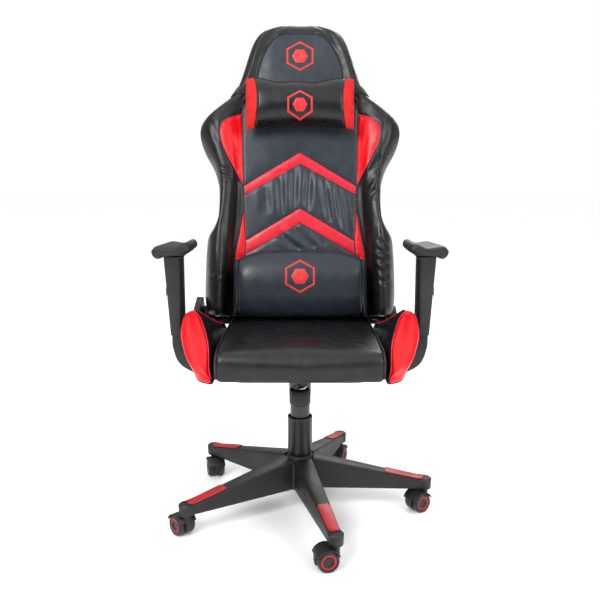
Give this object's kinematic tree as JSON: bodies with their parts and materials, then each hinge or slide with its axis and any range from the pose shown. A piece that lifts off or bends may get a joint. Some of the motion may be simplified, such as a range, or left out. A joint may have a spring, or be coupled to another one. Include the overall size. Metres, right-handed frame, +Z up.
{
  "type": "gaming chair",
  "caption": "Racing-style gaming chair on a five-star caster base: red seat wings, slate and black reclining back with head and lumbar pillows, height-adjustable armrests.",
  "frame": {"origin": "middle of the chair's bounding box in plan, on the floor under the casters", "axes": "+Z up; the person sits facing -Y, with the left hand at +X"},
  "size_m": [0.672, 0.7049, 1.2419],
  "materials": {
    "base_nylon": "moulded glass-filled nylon, fine texture, black",
    "trim_red": "moulded ABS, satin, dark red",
    "wheel_polymer": "polyurethane tyre on a nylon wheel, with a dark red ring",
    "hood_nylon": "moulded nylon, black",
    "lift_steel": "steel, black powder coat",
    "bright_steel": "steel, zinc plated",
    "guide_acetal": "acetal, natural white",
    "cover_plastic": "moulded polypropylene, satin black",
    "mechanism_steel": "pressed steel, black paint",
    "knob_plastic": "moulded nylon, black",
    "seat_leather": "PU leather over foam, black, soft gloss",
    "wing_leather": "PU leather over foam, bright red and black",
    "back_leather": "PU leather over foam, slate and black with red panels",
    "pillow_leather": "PU leather over fibre filling, slate with red velour bands",
    "strap_elastic": "woven elastic, black",
    "arm_plastic": "moulded nylon, black",
    "pad_polyurethane": "soft integral-skin polyurethane, black"
  },
  "bodies": {
    "base": {"star_base": "base_nylon", "arm_trim_1": "trim_red", "arm_trim_2": "trim_red", "arm_trim_3": "trim_red", "arm_trim_4": "trim_red", "arm_trim_5": "trim_red", "lift_outer_tube": "lift_steel", "lift_guide_bush": "guide_acetal", "dust_cover_lower": "cover_plastic", "caster_1_stem": "bright_steel", "caster_2_stem": "bright_steel", "caster_3_stem": "bright_steel", "caster_4_stem": "bright_steel", "caster_5_stem": "bright_steel"},
    "caster_1": {"caster_1_hood": "hood_nylon"},
    "caster_1_wheel_pair": {"caster_1_wheels": "wheel_polymer"},
    "caster_2": {"caster_2_hood": "hood_nylon"},
    "caster_2_wheel_pair": {"caster_2_wheels": "wheel_polymer"},
    "caster_3": {"caster_3_hood": "hood_nylon"},
    "caster_3_wheel_pair": {"caster_3_wheels": "wheel_polymer"},
    "caster_4": {"caster_4_hood": "hood_nylon"},
    "caster_4_wheel_pair": {"caster_4_wheels": "wheel_polymer"},
    "caster_5": {"caster_5_hood": "hood_nylon"},
    "caster_5_wheel_pair": {"caster_5_wheels": "wheel_polymer"},
    "lift_piston": {"lift_rod": "bright_steel"},
    "lift": {"lift_cylinder": "lift_steel", "dust_cover_upper": "cover_plastic", "tilt_housing": "mechanism_steel", "tilt_pivot_pin": "bright_steel"},
    "release_pin": {"lift_release_pin": "bright_steel"},
    "height_lever": {"height_lever": "mechanism_steel"},
    "seat": {"seat_plate": "mechanism_steel", "seat_frame": "mechanism_steel", "seat_cushion": "seat_leather", "seat_wing_left": "wing_leather", "seat_wing_right": "wing_leather", "recliner_lower_left": "mechanism_steel", "recliner_lower_right": "mechanism_steel", "hinge_cover_left": "cover_plastic", "hinge_cover_right": "cover_plastic", "arm_bracket_left": "arm_plastic", "arm_bracket_right": "arm_plastic", "tension_spring": "bright_steel"},
    "tension_knob": {"tension_knob": "knob_plastic"},
    "back": {"back_frame": "mechanism_steel", "back_cushion": "back_leather", "back_panel": "back_leather", "recliner_upper_left": "mechanism_steel", "recliner_upper_right": "mechanism_steel", "head_pillow": "pillow_leather", "lumbar_pillow": "pillow_leather", "head_strap": "strap_elastic"},
    "recline_lever": {"recline_lever": "knob_plastic"},
    "armrest_left": {"arm_sleeve_left": "arm_plastic", "arm_pad_left": "pad_polyurethane"},
    "arm_button_left": {"arm_button_left": "arm_plastic"},
    "armrest_right": {"arm_sleeve_right": "arm_plastic", "arm_pad_right": "pad_polyurethane"},
    "arm_button_right": {"arm_button_right": "arm_plastic"}
  },
  "joints": [
    {"name": "caster_1_swivel", "type": "hinge", "parent": "base", "child": "caster_1", "pos_m": [0.3193, -0.02821, 0.05], "axis": [0, 0, 1], "continuous": true},
    {"name": "caster_1_roll", "type": "hinge", "parent": "caster_1", "child": "caster_1_wheel_pair", "pos_m": [0.30209, -0.04025, 0.025], "axis": [0.5736, -0.8191, 0], "continuous": true},
    {"name": "caster_2_swivel", "type": "hinge", "parent": "base", "child": "caster_2", "pos_m": [0.11884, 0.29012, 0.05], "axis": [0, 0, 1], "continuous": true},
    {"name": "caster_2_roll", "type": "hinge", "parent": "caster_2", "child": "caster_2_wheel_pair", "pos_m": [0.11166, 0.27038, 0.025], "axis": [0.9397, -0.342, 0], "continuous": true},
    {"name": "caster_3_swivel", "type": "hinge", "parent": "base", "child": "caster_3", "pos_m": [-0.24585, 0.19784, 0.05], "axis": [0, 0, 1], "continuous": true},
    {"name": "caster_3_roll", "type": "hinge", "parent": "caster_3", "child": "caster_3_wheel_pair", "pos_m": [-0.24042, 0.17755, 0.025], "axis": [0.9659, 0.2588, 0], "continuous": true},
    {"name": "caster_4_swivel", "type": "hinge", "parent": "base", "child": "caster_4", "pos_m": [-0.27078, -0.17752, 0.05], "axis": [0, 0, 1], "continuous": true},
    {"name": "caster_4_roll", "type": "hinge", "parent": "caster_4", "child": "caster_4_wheel_pair", "pos_m": [-0.28428, -0.16143, 0.025], "axis": [-0.766, -0.6428, 0], "continuous": true},
    {"name": "caster_5_swivel", "type": "hinge", "parent": "base", "child": "caster_5", "pos_m": [0.0785, -0.31722, 0.05], "axis": [0, 0, 1], "continuous": true},
    {"name": "caster_5_roll", "type": "hinge", "parent": "caster_5", "child": "caster_5_wheel_pair", "pos_m": [0.05821, -0.32266, 0.025], "axis": [0.2588, -0.9659, 0], "continuous": true},
    {"name": "seat_swivel", "type": "hinge", "parent": "base", "child": "lift_piston", "pos_m": [0, -0.007, 0.1], "axis": [0, 0, 1], "continuous": true},
    {"name": "lift_slide", "type": "slide", "parent": "lift_piston", "child": "lift", "axis": [0, 0, 1], "range_m": [-0.045, 0.04]},
    {"name": "release_slide", "type": "slide", "parent": "lift", "child": "release_pin", "axis": [0, 0, 1], "range_m": [-0.0037, 0]},
    {"name": "height_lever_hinge", "type": "hinge", "parent": "lift", "child": "height_lever", "pos_m": [-0.034, -0.007, 0.3791], "axis": [0, 1, 0], "range_deg": [0, 6], "stiffness_Nm_per_rad": 2, "springref_deg": -5.73},
    {"name": "seat_tilt", "type": "hinge", "parent": "lift", "child": "seat", "pos_m": [0, -0.057, 0.378], "axis": [-1, 0, 0], "range_deg": [0, 12], "stiffness_Nm_per_rad": 160, "springref_deg": -14.32, "deforming": ["tension_spring"]},
    {"name": "tension_turn", "type": "hinge", "parent": "seat", "child": "tension_knob", "pos_m": [0, -0.107, 0.345], "axis": [0, 0, 1], "continuous": true},
    {"name": "back_recline", "type": "hinge", "parent": "seat", "child": "back", "pos_m": [0, 0.161, 0.455], "axis": [-1, 0, 0], "range_deg": [0, 60]},
    {"name": "recline_lever_hinge", "type": "hinge", "parent": "seat", "child": "recline_lever", "pos_m": [-0.268, 0.161, 0.455], "axis": [-1, 0, 0], "range_deg": [0, 25], "stiffness_Nm_per_rad": 1.5, "springref_deg": -28.65},
    {"name": "armrest_left_slide", "type": "slide", "parent": "seat", "child": "armrest_left", "axis": [0, 0, 1], "range_m": [0, 0.07]},
    {"name": "arm_button_left_slide", "type": "slide", "parent": "armrest_left", "child": "arm_button_left", "axis": [-1, 0, 0], "range_m": [0, 0.004], "stiffness_N_per_m": 400, "springref_m": -0.002},
    {"name": "armrest_right_slide", "type": "slide", "parent": "seat", "child": "armrest_right", "axis": [0, 0, 1], "range_m": [0, 0.07]},
    {"name": "arm_button_right_slide", "type": "slide", "parent": "armrest_right", "child": "arm_button_right", "axis": [1, 0, 0], "range_m": [0, 0.004], "stiffness_N_per_m": 400, "springref_m": -0.002}
  ],
  "couplings": [
    {"joint": "release_slide", "follows": "height_lever_hinge", "m_per_rad": -0.034}
  ]
}
